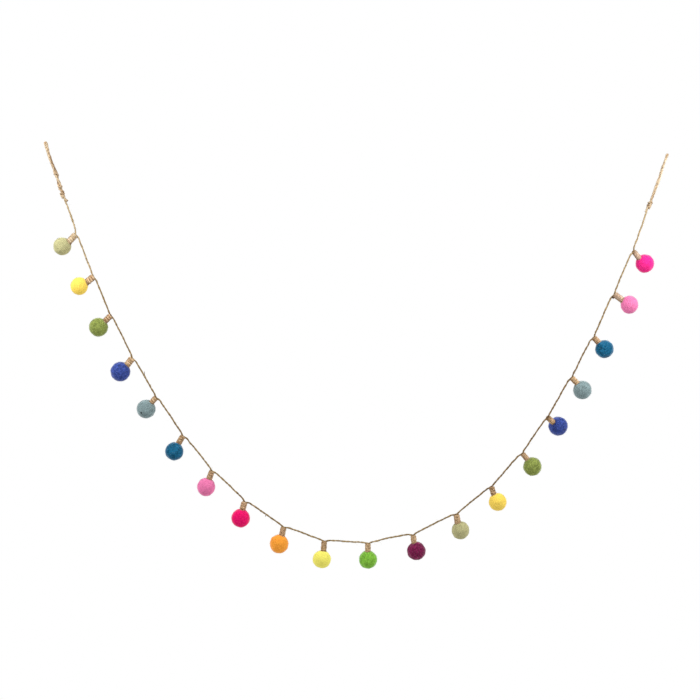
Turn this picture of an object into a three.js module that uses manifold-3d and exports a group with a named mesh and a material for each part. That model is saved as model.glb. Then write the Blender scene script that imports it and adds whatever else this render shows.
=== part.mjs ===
// Needle felted garland: twenty felt balls, each on a short wound neck, along one jute string with a
// knotted hanging loop at either end. Millimetres, +Z up, front towards -Y, in the shape in which it
// hangs by its two loops. The origin is inside the top of the left loop, where a hook bears.
import * as THREE from "three";
import { mergeVertices } from "three/addons/utils/BufferGeometryUtils.js";
import Module from "manifold-3d";

const wasm = await Module();
wasm.setup();

// Driving dimensions
const TWINE = 2.0; // thickness of the jute string
const TWINE_SIDES = 8;
const TAIL = 2.0; // thickness of a knot's frayed free end
const CLEARANCE = 0.3; // between pieces that touch in the real garland

const NECK_SIDES = 10;
const NECK_ABOVE = 0.5; // how far a neck stands above the crossing
const NECK_BELOW = 3; // how far its blank runs on below the felt, before the ball shapes its foot
const NECK_SHOULDER = 0.6; // how much smaller its radius is at the top edge
const NECK_ROUND = 2; // how far down from the top edge that rounding reaches

const DIP = 0.9; // how far the middle of the string sinks below the crossing
const HIGH_REACH = 5; // from the crossing to the string's point on the uphill side of a neck
const LOW_REACH = 7; // the same on its downhill side, which leaves in a small arch

const BALL_DETAIL = 2; // subdivisions of an icosahedron
const BALL_UNEVEN = 0.02; // height of the hand-felted lumps, as a share of the radius

const LOOP_STEPS = 4; // along each strand of a hanging loop
const EYE_STEPS = 4; // round the loop's top
const EYE = 2.9; // between the strands' middles at the loop's top
const APART = 2.4; // between them further down

const KNOT_CORE = 4.6; // thickness of the doubled string inside a knot
const KNOT_SIDES = 8;
const WRAP = { ring: 2.4, twine: 2.0, slant: 32, sides: 5, steps: 8 }; // a turn of twine round it
const KNOT_GAP = 0.5; // from a knot's face to the middle of a twine's end, which may slant
const TAIL_GAP = 0.7; // the same for the free end, which slants most
const STRING_ASIDE = 0.6; // where the string and the free end leave a knot's foot, off its axis
const TAIL_ASIDE = 1.6;
const TAIL_FORWARD = 2.2; // in front of the string

const JUTE = 0xb89468;
const WOUND_JUTE = 0xb98d60;
const FELTS = {
  sage: 0xc6c492,
  yellow: 0xf7dd6a,
  moss: 0x8a9a47,
  cobalt: 0x3b4f9c,
  duck_egg: 0x86a0a3,
  teal: 0x23678c,
  pink: 0xe07db2,
  cerise: 0xe01e6f,
  orange: 0xef9a42,
  lemon: 0xe8e56f,
  lime: 0x7cb740,
  plum: 0x7b2850,
  hot_pink: 0xff379a,
};

// One row for each ball, from left to right. x, y and z place the crossing of string and neck. lean
// turns the neck from straight down towards +X and tilt brings its ball forward, in degrees. stem is
// the neck's length from the crossing to the felt, and width its thickness. ball is the ball's
// diameter, and aside is how far its middle lies off the neck's axis. high and low are how far the
// string rises over its chord beside the neck, on its uphill and its downhill side. bow is the same
// halfway to the next ball, where the string isn't straight.
const COLUMNS = [
  "felt", "x", "y", "z", "lean", "tilt", "stem", "width", "ball", "aside", "high", "low", "bow",
];
const BALLS = [
  ["sage", 42.4, 0, -128.1, -43, -8, 13.4, 8.6, 24.6, -2.8, 0.5, 1.9, 0],
  ["yellow", 67.7, -1, -187.4, -52, -2, 12.1, 9.2, 24.3, -2.3, -0.6, 1.2, 0],
  ["moss", 91.9, 0, -241.5, -46, -6, 11.7, 8.1, 26.2, -0.4, -1, 1.1, 0],
  ["cobalt", 121.7, 1, -301.2, -37, -7, 12.2, 9.0, 27.3, -2.3, 0.6, 1.8, 0],
  ["duck_egg", 154.9, 0, -356.4, -42, -14, 9.6, 7.4, 25.9, 0.5, 0.7, 2.4, 0],
  ["teal", 192.7, -1, -410.1, -31, 6, 12.4, 7.9, 25.1, 0.8, 0.5, 2, 0],
  ["pink", 233.3, -1, -459.1, -20, -10, 12.4, 7.8, 25.0, 0, 0.5, 1.7, 0],
  ["cerise", 278.9, 0, -502.5, -16, -5, 11.1, 8.4, 25.6, 0.6, 1.5, 2.5, 0],
  ["orange", 333.5, 1, -538, -12, -6, 11.8, 8.1, 26.0, -1.4, 0.5, 1.5, 0],
  ["lemon", 390.3, 0, -557.5, -4, -2, 13.4, 7.8, 24.9, -1.8, 0.2, 1.3, 0],
  ["lime", 451.5, 0, -560.5, -1, -12, 11.4, 7.6, 25.1, 0.7, 0.5, 0.5, 2.2],
  ["plum", 514.7, -1, -549, 7, -6, 10.3, 7.5, 25.6, 1.7, 0.9, 2.3, 0],
  ["sage", 575.3, -1, -520, 9, -18, 12.4, 8.2, 24.8, 2.5, 0.4, 2.4, 0],
  ["yellow", 624.1, 0, -481.1, 18, -6, 11.5, 7.6, 24.6, 1.8, -0.2, 1.1, 0],
  ["moss", 667.6, 1, -434.8, 40, -10, 11.2, 7.1, 25.4, -0.9, 0.7, 2, 0],
  ["cobalt", 702.7, 0, -384.4, 51, -42, 14.6, 7.3, 26.6, 0.2, 0, 1.6, 0],
  ["duck_egg", 736.6, 0, -328.4, 43, -9, 11.1, 7.7, 25.4, -0.8, 0.3, 1.9, 0],
  ["teal", 767.3, -1, -272.2, 43, -5, 10.1, 7.9, 25.2, -0.2, 0.3, 2.3, 0],
  ["pink", 796.1, 0, -211.8, 54, -4, 14, 8.6, 24.5, 0.9, 0.5, 2, 0],
  ["hot_pink", 823.3, 0, -151.8, 41, -25, 13.6, 7.2, 25.7, 1.6, 0.9, 2.6, 0],
].map((row) => Object.fromEntries(COLUMNS.map((column, i) => [column, row[i]])));

// The two ends. The string runs on from the outermost neck through the points in string to the knot's
// foot. The knot lies round its core from foot to top, with a slanted turn of twine at each of wraps,
// measured from the foot. tail is its free end, below the foot and on the side that tailSide says. The
// loop's middle line runs from the knot's top to its eye. Its strands turn about each other by twist,
// in degrees, up to edge at the eye, where 0 shows the open loop to the front and 90 shows it edge on.
const ENDS = {
  left: {
    string: [[39.5, 0.5, -112], [30.5, 0, -89]],
    knot: { foot: [25.3, 0, -76.8], top: [13, 0, -38.4], wraps: [4, 7.4, 15.6, 34] },
    tail: [[28.4, -2, -79.4], [31, -1.6, -81.6]],
    tailSide: 1,
    loop: [[9, 0, -29], [4.5, 0, -16], [0.2, 0, -0.7]],
    edge: 0,
    twist: 40,
  },
  right: {
    string: [[826, 0, -140], [834.2, -0.5, -119], [840.5, 0, -99]],
    knot: { foot: [843.9, 0, -91.4], top: [847.9, 0, -80.4], wraps: [3.4, 7.4] },
    tail: [[841, -2.2, -94.2], [839.4, -2.1, -96.8]],
    tailSide: -1,
    loop: [[851.5, 0, -70], [857.5, 0, -55.6], [864, 0, -34.5], [870.3, 0, -17.6]],
    edge: 60,
    twist: 170,
  },
};

const vector = ([x, y, z]) => new THREE.Vector3(x, y, z);
const radians = THREE.MathUtils.degToRad;
const material = (color, roughness) => new THREE.MeshStandardMaterial({ color, roughness, metalness: 0 });

/** A smooth line whose equal steps land on its own points, however far apart they are. */
class Route extends THREE.CatmullRomCurve3 {
  getPointAt(u, target) {
    return this.getPoint(u, target);
  }
  getTangentAt(u, target) {
    return this.getTangent(u, target);
  }
}

/** A round tube with flat ends through the given points. */
function tube(points, thickness) {
  const section = new THREE.Shape();
  for (let side = 0; side < TWINE_SIDES; side++) {
    const angle = (2 * Math.PI * (side + 0.5)) / TWINE_SIDES;
    const corner = [(Math.cos(angle) * thickness) / 2, (Math.sin(angle) * thickness) / 2];
    if (side === 0) section.moveTo(...corner);
    else section.lineTo(...corner);
  }
  section.closePath();
  return new THREE.ExtrudeGeometry(section, {
    steps: points.length - 1,
    extrudePath: new Route(points),
    bevelEnabled: false,
  });
}

/** A closed geometry as a solid that can be joined and cut, moved by matrix if there is one. */
function solidOf(geometry, matrix = new THREE.Matrix4()) {
  const bare = new THREE.BufferGeometry();
  bare.setAttribute("position", geometry.getAttribute("position").clone());
  bare.setIndex(geometry.index);
  bare.applyMatrix4(matrix);
  const merged = mergeVertices(bare);
  const triVerts = [];
  for (let i = 0; i < merged.index.count; i += 3) {
    const [a, b, c] = merged.index.array.slice(i, i + 3);
    if (a !== b && b !== c && c !== a) triVerts.push(a, b, c);
  }
  return new wasm.Manifold(
    new wasm.Mesh({
      numProp: 3,
      vertProperties: merged.getAttribute("position").array,
      triVerts: new Uint32Array(triVerts),
    }),
  );
}

/** The geometry of a solid. */
function geometryOf(solid) {
  const { vertProperties, triVerts } = solid.getMesh();
  const geometry = new THREE.BufferGeometry();
  geometry.setAttribute("position", new THREE.BufferAttribute(vertProperties, 3));
  geometry.setIndex(new THREE.BufferAttribute(triVerts, 1));
  geometry.computeVertexNormals();
  return geometry;
}

/** The direction from a ball up its neck to the string. */
function upNeck({ lean, tilt }) {
  const down = new THREE.Vector3(
    Math.sin(radians(lean)) * Math.cos(radians(tilt)),
    -Math.sin(radians(tilt)),
    -Math.cos(radians(lean)) * Math.cos(radians(tilt)),
  );
  return down.negate();
}

/** The point of the string beside a neck, on the side of the neighbouring point. */
function leg({ high, low }, crossing, neighbour, up) {
  const [reach, rise] = neighbour.z < crossing.z ? [LOW_REACH, low] : [HIGH_REACH, high];
  const along = neighbour.clone().sub(crossing).normalize();
  const out = up.clone().projectOnPlane(along).normalize();
  return crossing.clone().addScaledVector(along, reach).addScaledVector(out, rise);
}

/** A point just beyond a knot's foot or top, aside from its axis towards +X and forward towards -Y. */
function atKnot({ foot, top }, face, { gap = KNOT_GAP, aside = 0, forward = 0 } = {}) {
  const along = vector(top).sub(vector(foot)).normalize();
  const right = new THREE.Vector3(0, 1, 0).cross(along);
  return vector(face === "top" ? top : foot)
    .addScaledVector(along, face === "top" ? gap : -gap)
    .addScaledVector(right, aside)
    .add(new THREE.Vector3(0, -forward, 0));
}

/** The string's last points towards a knot, from the outermost neck to the knot's foot. */
function stringEnd({ string, knot, tailSide }) {
  return [...string.map(vector), atKnot(knot, "foot", { aside: STRING_ASIDE * tailSide })];
}

/** The middle line of a knot's free end. */
function tailRoute({ tail, knot, tailSide }) {
  const start = { gap: TAIL_GAP, aside: TAIL_ASIDE * tailSide, forward: TAIL_FORWARD };
  return [atKnot(knot, "foot", start), ...tail.map(vector)];
}

/** The string's middle line from the left knot to the right one, through every neck. */
function stringRoute() {
  const start = stringEnd(ENDS.left).reverse();
  const finish = stringEnd(ENDS.right);
  const crossings = BALLS.map(({ x, y, z }) => new THREE.Vector3(x, y, z));
  const points = [...start];
  BALLS.forEach((row, i) => {
    const crossing = crossings[i];
    const next = crossings[i + 1] ?? finish[0];
    const up = upNeck(row);
    points.push(
      leg(row, crossing, crossings[i - 1] ?? start.at(-1), up),
      crossing.clone().addScaledVector(up, -DIP),
      leg(row, crossing, next, up),
    );
    if (row.bow) {
      const across = up.clone().projectOnPlane(next.clone().sub(crossing)).normalize();
      const halfway = crossing.clone().lerp(next, 0.5);
      points.push(halfway.addScaledVector(across, row.bow));
    }
  });
  return [...points, ...finish];
}

/** The middle line of a hanging loop: up one strand, round the eye and down the other. */
function loopRoute({ loop, knot, edge, twist }) {
  const middle = new Route([atKnot(knot, "top"), ...loop.map(vector)]);
  const front = new THREE.Vector3(0, -1, 0);
  const place = (t, side, spread) => {
    const along = middle.getTangent(t);
    const turn = radians(edge + twist * (1 - t));
    const out = new THREE.Vector3().crossVectors(front, along).normalize().applyAxisAngle(along, turn);
    return { along, out: out.multiplyScalar((side * spread) / 2), point: middle.getPoint(t) };
  };
  const strand = (side) =>
    Array.from({ length: LOOP_STEPS }, (_, i) => {
      const { point, out } = place(i / LOOP_STEPS, side, APART);
      return point.add(out);
    });
  const eye = Array.from({ length: EYE_STEPS + 1 }, (_, i) => {
    const { point, along, out } = place(1, 1, EYE);
    const turn = (Math.PI * i) / EYE_STEPS;
    return point.addScaledVector(out, Math.cos(turn)).addScaledVector(along, (Math.sin(turn) * EYE) / 2);
  });
  return [...strand(1), ...eye, ...strand(-1).reverse()];
}

/** A knot: a core of doubled string with slanted turns of twine round it. */
function knotSolid({ foot, top, wraps }) {
  const [low, high] = [vector(foot), vector(top)];
  const length = low.distanceTo(high);
  const core = new THREE.CylinderGeometry(KNOT_CORE / 2, KNOT_CORE / 2, length, KNOT_SIDES);
  const upright = new THREE.Quaternion().setFromUnitVectors(
    new THREE.Vector3(0, 1, 0),
    high.clone().sub(low).normalize(),
  );
  const placed = new THREE.Matrix4().compose(
    low.clone().lerp(high, 0.5),
    upright,
    new THREE.Vector3(1, 1, 1),
  );
  const turns = wraps.map((height, i) => {
    const turn = new THREE.TorusGeometry(WRAP.ring, WRAP.twine / 2, WRAP.sides, WRAP.steps);
    turn.rotateX(Math.PI / 2 + radians(i % 2 ? WRAP.slant : -WRAP.slant));
    turn.translate(0, height - length / 2, 0);
    return solidOf(turn, placed);
  });
  return turns.reduce((knot, turn) => knot.add(turn), solidOf(core, placed));
}

/** A ball of felt about its own middle, a little uneven, each in its own way. */
function feltBall(index, radius) {
  const geometry = new THREE.IcosahedronGeometry(1, BALL_DETAIL);
  const position = geometry.getAttribute("position");
  const point = new THREE.Vector3();
  for (let i = 0; i < position.count; i++) {
    point.fromBufferAttribute(position, i);
    const lump =
      Math.sin(2.1 * point.x + index) * Math.sin(2.7 * point.y + 2 * index) +
      Math.sin(2.4 * point.z + 3 * index) / 2;
    point.multiplyScalar(radius * (1 + BALL_UNEVEN * lump));
    position.setXYZ(i, point.x, point.y, point.z);
  }
  return geometry;
}

/** Where the middle of a row's ball is. */
function ballPlace(row) {
  const side = new THREE.Vector3(Math.cos(radians(row.lean)), 0, Math.sin(radians(row.lean)));
  return new THREE.Vector3(row.x, row.y, row.z)
    .addScaledVector(upNeck(row), -(row.stem + row.ball / 2))
    .addScaledVector(side, row.aside);
}

/** The blank of a neck, its axis along Y and the crossing at 0. */
function neckBlank({ stem, width }) {
  const waist = width / 2;
  const profile = [
    [0, -stem - NECK_BELOW],
    [waist, -stem - NECK_BELOW],
    [waist, NECK_ABOVE - NECK_ROUND],
    [waist - NECK_SHOULDER, NECK_ABOVE],
    [0, NECK_ABOVE],
  ];
  return new THREE.LatheGeometry(profile.map(([r, y]) => new THREE.Vector2(r, y)), NECK_SIDES);
}

const garland = new THREE.Group();
garland.name = "needle_felted_garland";

function add(name, geometry, finish, parent = garland) {
  const mesh = new THREE.Mesh(geometry, finish);
  mesh.name = name;
  parent.add(mesh);
  return mesh;
}

const jute = material(JUTE, 0.9);
const woundJute = material(WOUND_JUTE, 0.9);
const felts = Object.fromEntries(
  Object.entries(FELTS).map(([name, color]) => [name, material(color, 1)]),
);

const stringPoints = stringRoute();
const stringRoom = tube(stringPoints, TWINE + 2 * CLEARANCE);
add("string", tube(stringPoints, TWINE), jute);

for (const [side, end] of Object.entries(ENDS)) {
  add("loop_" + side, tube(loopRoute(end), TWINE), jute);
  add("knot_" + side, geometryOf(knotSolid(end.knot)), jute);
  add("tail_" + side, tube(tailRoute(end), TAIL), jute);
}

BALLS.forEach((row, i) => {
  const number = String(i + 1).padStart(2, "0");
  const ball = add("ball_" + number, feltBall(i, row.ball / 2), felts[row.felt]);
  ball.position.copy(ballPlace(row));
  ball.updateMatrix();

  const neck = add("neck_" + number, neckBlank(row), woundJute);
  neck.position.set(row.x, row.y, row.z);
  neck.quaternion.setFromUnitVectors(new THREE.Vector3(0, 1, 0), upNeck(row));
  neck.updateMatrix();
  const intoNeck = neck.matrix.clone().invert();
  const ballRoom = solidOf(
    feltBall(i, row.ball / 2 + CLEARANCE),
    intoNeck.clone().multiply(ball.matrix),
  );
  const open = new THREE.Matrix4().makeTranslation(0, TWINE / 2, 0).multiply(intoNeck);
  const groove = solidOf(stringRoom, intoNeck).add(solidOf(stringRoom, open));
  neck.geometry = geometryOf(solidOf(neck.geometry).subtract(groove).subtract(ballRoom));
});

export default garland;
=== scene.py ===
"""Needle felted garland: twenty balls of felt on short wound necks, along one jute string that hangs
by its two knotted loops.

Metres, +Z up, front towards -Y. Each ball, neck and end is worked out from the tables below, which say
the same as the frame's own source, so every piece lies in the solid that it replaces.
"""

import math

import bmesh
import bpy
import numpy as np
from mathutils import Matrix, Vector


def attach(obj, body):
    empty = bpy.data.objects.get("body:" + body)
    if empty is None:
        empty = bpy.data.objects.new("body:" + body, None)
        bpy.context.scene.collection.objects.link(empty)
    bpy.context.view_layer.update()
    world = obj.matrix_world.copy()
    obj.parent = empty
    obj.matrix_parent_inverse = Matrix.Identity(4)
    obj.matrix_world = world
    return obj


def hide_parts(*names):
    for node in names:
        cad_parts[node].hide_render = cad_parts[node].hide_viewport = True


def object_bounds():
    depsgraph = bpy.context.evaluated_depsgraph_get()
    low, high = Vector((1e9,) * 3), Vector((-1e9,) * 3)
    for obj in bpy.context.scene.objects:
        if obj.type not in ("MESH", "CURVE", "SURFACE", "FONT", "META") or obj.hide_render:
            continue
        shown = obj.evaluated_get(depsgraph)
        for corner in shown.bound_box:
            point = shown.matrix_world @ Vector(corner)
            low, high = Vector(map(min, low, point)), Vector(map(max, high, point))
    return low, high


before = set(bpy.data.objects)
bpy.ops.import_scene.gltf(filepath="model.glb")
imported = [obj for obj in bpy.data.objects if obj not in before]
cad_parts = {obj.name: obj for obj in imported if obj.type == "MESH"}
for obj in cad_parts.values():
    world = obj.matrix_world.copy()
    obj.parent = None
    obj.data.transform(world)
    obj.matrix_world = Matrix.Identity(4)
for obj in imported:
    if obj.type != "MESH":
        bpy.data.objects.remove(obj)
cad_low, cad_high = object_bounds()
MIDDLE = (cad_low + cad_high) / 2

# Camera and light
LENS, SENSOR = 135, 36
VIEW_WIDTH = 0.98  # what the camera takes in at the garland
VIEW_ASIDE, VIEW_RAISED = -0.0087, 0.0072  # its middle, from the garland's
AMBIENT_FRONT, AMBIENT_BEHIND = 0.21, 0.85  # the soft light from either way
AMBIENT_SPAN = 0.6  # how far forward and back one passes into the other
FLOOR_DROP = 0.62  # from the lowest ball down to the floor
FLOOR_REACH = 3  # from its middle to each edge
FLOOR_GREY = 0.85
FLOOR_GLOW = 0.87  # light that it gives back
FLOOR_WHITE = 0.7  # share of plain white in what is seen of it
LAMP_SIZE = 0.5
# How far each lamp is right of the garland's middle, in front and above it, and its power
LAMPS = [
    ["key_left", -0.8, 0.52, 0.6, 9.3],
    ["key_right", 0.82, 0.45, 0.5, 8.6],
]

FRONT = np.array([0.0, -1.0, 0.0])
# First number of each random sequence
STRING_SEED, END_SEED, NECK_SEED, FELT_SEED, FUZZ_SEED = 11, 21, 100, 200, 300

# Twine
TWINE = 0.002
PLY = 0.46  # radius of a ply, as a share of the twine's thickness
PLY_OUT = 0.17  # its distance from the middle, likewise
PLY_LUMPS = [(0.1, 0.008), (0.05, 0.004)]  # how much its thickness varies, and over what length
PLY_SIDES = 8
TWIST = 0.014  # length of a turn of the two plies about each other
TWIST_START = (0, 6)  # the angle it starts at
TWIST_STRAY = (1.1, 0.022)  # how far it runs ahead or behind, in radians, and over what length
SPLAY_LENGTH = 0.003  # where the two plies open at a cut end
STEP = 0.0008  # between the rings of a ply
DOME = 0.6  # height of a tube's rounded end, as a share of its radius
SPLINE_POINTS = 24  # in each stretch of a smooth curve
WAVE_SPREAD = (0.7, 1.4)  # how much finer or coarser a wave may be

# Its loose hairs
HAIR = 0.00009  # thickness
HAIR_LENGTH = (0.003, 0.007)
HAIR_LIGHT = 1.15
HAIR_ROOT = 0.35  # distance from the twine's middle, as a share of its thickness
HAIR_LEAN = (0.3, 2.2)  # how far it leans along the twine
HAIR_BEND, HAIR_CURL = 0.5, 0.2  # its bend to any side, and outwards
HAIR_POINTS = 5
HAIR_TIP = 0.45  # thickness next to its point, as a share of that at its root
HAIR_SKEW = np.array([0.31, 0.52, 0.8])  # a direction that hardly any has
HAIR_GRAIN = np.array([0.0037, 0.0011, 0.0023])  # how far apart the grain of two hairs is
GRAIN_APART = 0.013  # and the grain of two shapes in one piece
STRING_HAIRS, LOOP_HAIRS, TAIL_HAIRS, NECK_HAIRS = 460, 50, 22, 16
TAIL_HAIR_LENGTH = (0.001, 0.003)
NECK_HAIR_LENGTH = (0.0015, 0.0035)

# The string
CORNER = 0.0016  # how softly it bends beside a neck
EASE = 0.008  # and in between the necks
STRAIGHT = (0.006, 0.015)  # how far from a neck one passes into the other
WANDER, WANDER_LENGTH = 0.0002, 0.014  # how far it strays from its line, and over what length
FINE = 0.0002  # between the points of its line while it is softened
STRING_SHADES = (1.7, 1.5)  # its shade at the left and right knots

# The string where it crosses a neck
DIP = 0.0009  # how far the neck draws it down
HIGH_REACH = 0.005  # to the string's point on the neck's uphill side
LOW_REACH = 0.007  # and on its downhill side
CROSSING_REACH = 0.003  # how far the shade of a neck's top spreads along it

# A neck
WIND = 0.0018  # the twine that is wound round it
WIND_PITCH = 0.00178
WIND_POINTS = 22  # in each turn
NECK_OUT = 0.0002  # how far its turns stand out of the solid
NECK_ABOVE = 0.0005  # how far the winding reaches above the crossing
NECK_INTO = 0.0026  # how far the winding runs on into the felt
NECK_SWELL = (0.03, 0.37)  # how much its width swells, and how fast
NECK_ROUGH = (0.02, 1.3)  # and at random, over how many turns
HAIRS_FROM = 0.5  # turns below its top
UNDER_DIP = 0.0009  # how far its first turns drop under the string
UNDER_WIDE, UNDER_TURNS = 0.06, 1.2
START_IN, START_TURNS = 0.55, 0.3  # the share of its width that it starts with, and for how long
LEG_ASIDE = 0.0011  # the two strands inside it, from its middle
LEG_HEIGHTS = (-0.001, -0.005, -0.009)
LEG_STEP = 0.001
HEART_IN = (0.0012, 0.001)  # how far inside the winding its solid heart ends, above and below
HEART_GAP = 0.0001
HEART_RINGS, HEART_SIDES = 6, 12
NUB_NECK = 19  # the one with a stray nub beside its top
NUB = (-0.0046, -0.0015)  # where, aside from the crossing and up the neck
NUB_TURN, NUB_POINTS, NUB_RADIUS, NUB_SHADE = 3 * math.pi, 24, 0.0008, 0.15
NUB_RISE = 0.1  # how far it turns forward, as a share of its radius for each radian
NUB_HAIRS, NUB_HAIR_LENGTH, NUB_HAIR_LIGHT = 14, (0.0015, 0.004), 0.6

# What each of a neck's looks does to its shade
PAINTED_EDGE_SHADE = (0.3, 0.34)  # painted shade at its sides: on every neck, and for each neck's own share of it
# The first of these is painted light on a neck's right side and painted shade on its left
PAINTED_SIDE_LIGHT, RINGS, STREAKS = 0.2, 0.3, 0.16
STREAK_COUNTS = (5, 8)
BLOTCH, BLOTCH_LENGTH = (0.08, 0.14), 1.6  # on every neck, and for its rings
TOP_TURNS = 0.9  # over which the shade of its first turn fades
FOOT_SHADOW_START = 0.0014  # how far above the felt the painted shadow at the foot starts
FOOT_SHADOW_OVER = 0.0009  # and over what height it comes in

# A knot and its loop
KNOT_GAP = 0.0005  # from the knot's solid to the string and the loop
TAIL_GAP = 0.0007  # and to its free end
STRING_ASIDE = 0.0006  # where the string leaves the knot's foot
TAIL_ASIDE = 0.0016  # and where the free end does
TAIL_FORWARD = 0.0022
TAIL = 0.002  # thickness of the free end
TAIL_INTO = 0.003  # how far it runs up into the knot
TIP_REACH = 0.0014  # how far the shade of its tip reaches
LOOP_STEPS, EYE_STEPS = 4, 4
LOOP_STEP = 0.0005
LOOP_INTO = 0.004  # how far its two strands run down into the knot
LOOP_SHADED_AT = (-0.85, -0.5, -0.1, 0.1, 0.5, 0.85)  # from one foot of it, at -1, to the other
EYE_REACH = 0.07  # how far the shade of its eye reaches, likewise
EYE = 0.0026  # its width at the eye
APART = 0.002  # between its two strands
KNOT_RING = 0.0024  # radius of a knot's turns
KNOT_SLANT = 32
KNOT_WRAP = 1.12  # their thickness, as a share of the twine's
WRAP_TURN = 2.3 * math.pi
WRAP_POINTS = 16
WRAP_START = 1.3  # how much further round each turn starts
WRAP_TUCK = (0.45, 0.9)  # how far in its ends are tucked, and over what angle
KNOT_STRAND = 1.3  # thickness of the two strands inside, likewise
KNOT_APART = 0.0013  # their distance from the knot's middle
STRAND_TWIST = 170  # radians for each metre
STRAND_PAST = 0.0006  # how far they reach past the knot
STRAND_POINTS = 12

# A ball
BALL_UNEVEN = 0.02  # how far its lumps stand out, as a share of its radius
BALL_DIVIDED = 6  # how often its mesh is divided
FELT_OUT = 0.00012  # how far its felt stands out of the solid
# Its bumps: their height, their length and how many waves make them up
FELT_BUMPS = [(0.00018, 0.008, 20), (0.00006, 0.0028, 40), (0.00002, 0.0013, 60)]
MARKS = 60  # pits that the needle left in a ball
MARK_DEEP = (0.00004, 0.00014)
MARK_WIDE = (0.0004, 0.0007)
# The felt's fold round the neck: how high it is, how far from the neck's side, and how wide
FOLD = [(-0.0003, 0, 0.0006), (0.0001, 0.0014, 0.0009)]

# The fibres that stand out from it
FUZZ = 1800  # how many, for most wools
FIBRE = 0.000045  # thickness
FIBRE_LENGTH = (0.0012, 0.0036)
FIBRE_BEND = 0.4
FIBRE_LIFT = (2.2, 0.00026)  # how far out they end, as a gamma distribution
FIBRE_ROOT = 0.0001  # how deep in the felt they start
FIBRE_RISE = ((0, 0), (0.5, 0.75), (1, 1))  # how far along and how far out its points are
SPECK_BALL = 5  # the one with a dark speck, and which way it lies from the ball's middle
SPECK = (-0.49, -0.8, -0.34)
SPECK_OUT, SPECK_SPREAD = 0.0003, 0.0004
SPECK_HAIRS, SPECK_HAIR, SPECK_SHADE = 90, 12 * FIBRE, 0.05

# One row for each ball, from left to right, in metres and degrees, as in the frame's source. aside is
# how far it hangs beside its neck's line, high and low how far the string rises on the neck's uphill
# and downhill side, and bow how far it bows up on the way to the next neck.
COLUMNS = "wool x y z lean tilt stem width ball aside high low bow".split()
BALLS = [
    ["sage", 0.0424, 0, -0.1281, -43, -8, 0.0134, 0.0086, 0.0246, -0.0028, 0.0005, 0.0019, 0],
    ["yellow", 0.0677, -0.001, -0.1874, -52, -2, 0.0121, 0.0092, 0.0243, -0.0023, -0.0006, 0.0012, 0],
    ["moss", 0.0919, 0, -0.2415, -46, -6, 0.0117, 0.0081, 0.0262, -0.0004, -0.001, 0.0011, 0],
    ["cobalt", 0.1217, 0.001, -0.3012, -37, -7, 0.0122, 0.009, 0.0273, -0.0023, 0.0006, 0.0018, 0],
    ["duck_egg", 0.1549, 0, -0.3564, -42, -14, 0.0096, 0.0074, 0.0259, 0.0005, 0.0007, 0.0024, 0],
    ["teal", 0.1927, -0.001, -0.4101, -31, 6, 0.0124, 0.0079, 0.0251, 0.0008, 0.0005, 0.002, 0],
    ["pink", 0.2333, -0.001, -0.4591, -20, -10, 0.0124, 0.0078, 0.025, 0, 0.0005, 0.0017, 0],
    ["cerise", 0.2789, 0, -0.5025, -16, -5, 0.0111, 0.0084, 0.0256, 0.0006, 0.0015, 0.0025, 0],
    ["orange", 0.3335, 0.001, -0.538, -12, -6, 0.0118, 0.0081, 0.026, -0.0014, 0.0005, 0.0015, 0],
    ["lemon", 0.3903, 0, -0.5575, -4, -2, 0.0134, 0.0078, 0.0249, -0.0018, 0.0002, 0.0013, 0],
    ["lime", 0.4515, 0, -0.5605, -1, -12, 0.0114, 0.0076, 0.0251, 0.0007, 0.0005, 0.0005, 0.0022],
    ["plum", 0.5147, -0.001, -0.549, 7, -6, 0.0103, 0.0075, 0.0256, 0.0017, 0.0009, 0.0023, 0],
    ["sage", 0.5753, -0.001, -0.52, 9, -18, 0.0124, 0.0082, 0.0248, 0.0025, 0.0004, 0.0024, 0],
    ["yellow", 0.6241, 0, -0.4811, 18, -6, 0.0115, 0.0076, 0.0246, 0.0018, -0.0002, 0.0011, 0],
    ["moss", 0.6676, 0.001, -0.4348, 40, -10, 0.0112, 0.0071, 0.0254, -0.0009, 0.0007, 0.002, 0],
    ["cobalt", 0.7027, 0, -0.3844, 51, -42, 0.0146, 0.0073, 0.0266, 0.0002, 0, 0.0016, 0],
    ["duck_egg", 0.7366, 0, -0.3284, 43, -9, 0.0111, 0.0077, 0.0254, -0.0008, 0.0003, 0.0019, 0],
    ["teal", 0.7673, -0.001, -0.2722, 43, -5, 0.0101, 0.0079, 0.0252, -0.0002, 0.0003, 0.0023, 0],
    ["pink", 0.7961, 0, -0.2118, 54, -4, 0.014, 0.0086, 0.0245, 0.0009, 0.0005, 0.002, 0],
    ["hot_pink", 0.8233, 0, -0.1518, 41, -25, 0.0136, 0.0072, 0.0257, 0.0016, 0.0009, 0.0026, 0],
]
BALLS = [dict(zip(COLUMNS, row)) for row in BALLS]
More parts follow.
